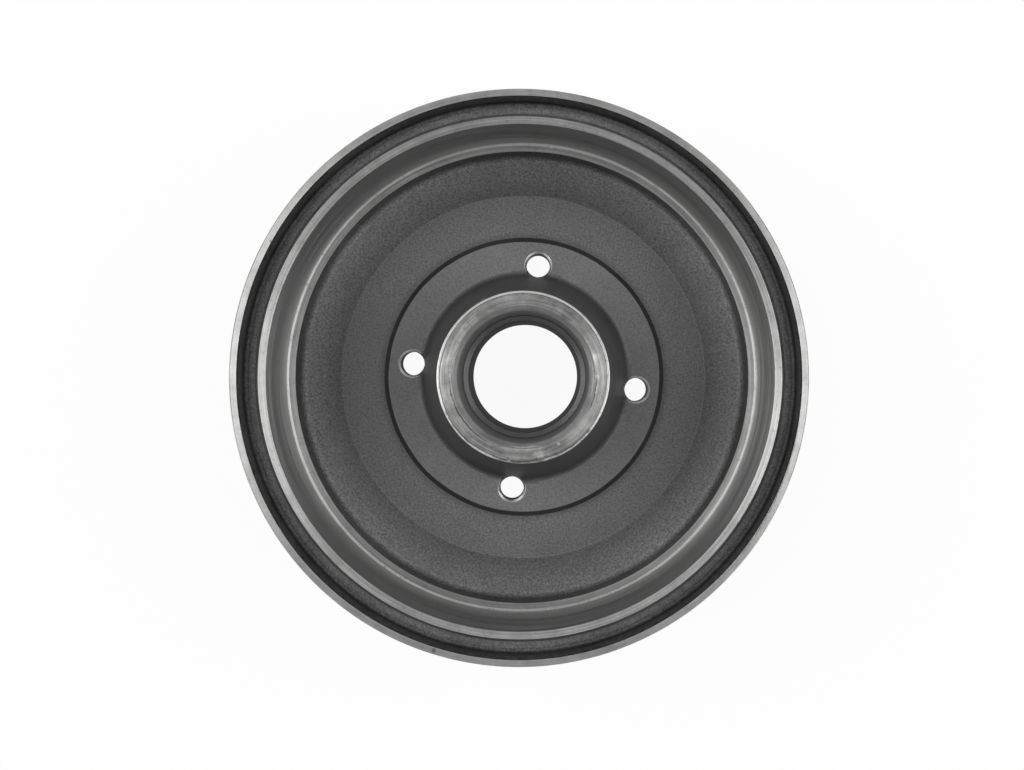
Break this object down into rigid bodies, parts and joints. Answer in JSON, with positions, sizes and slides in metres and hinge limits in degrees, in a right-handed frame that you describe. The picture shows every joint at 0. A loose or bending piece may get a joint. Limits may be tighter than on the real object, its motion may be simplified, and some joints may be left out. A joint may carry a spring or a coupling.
{
  "type": "brake drum",
  "caption": "Car rear brake drum with an integral wheel hub: bearing seat, tapped wheel bolt holes and a groove for the backplate's edge.",
  "frame": {"origin": "centre of the wheel face on the axle's axis", "axes": "+Z along the axle's axis towards the open side, +X and +Y through the wheel bolt holes"},
  "size_m": [0.2284, 0.2284, 0.0853],
  "materials": {
    "cast_iron": "grey iron: dark coated cast skin with fine grain, bright turned working faces"
  },
  "bodies": {
    "root": {"brake_drum": "cast_iron"}
  },
  "joints": []
}
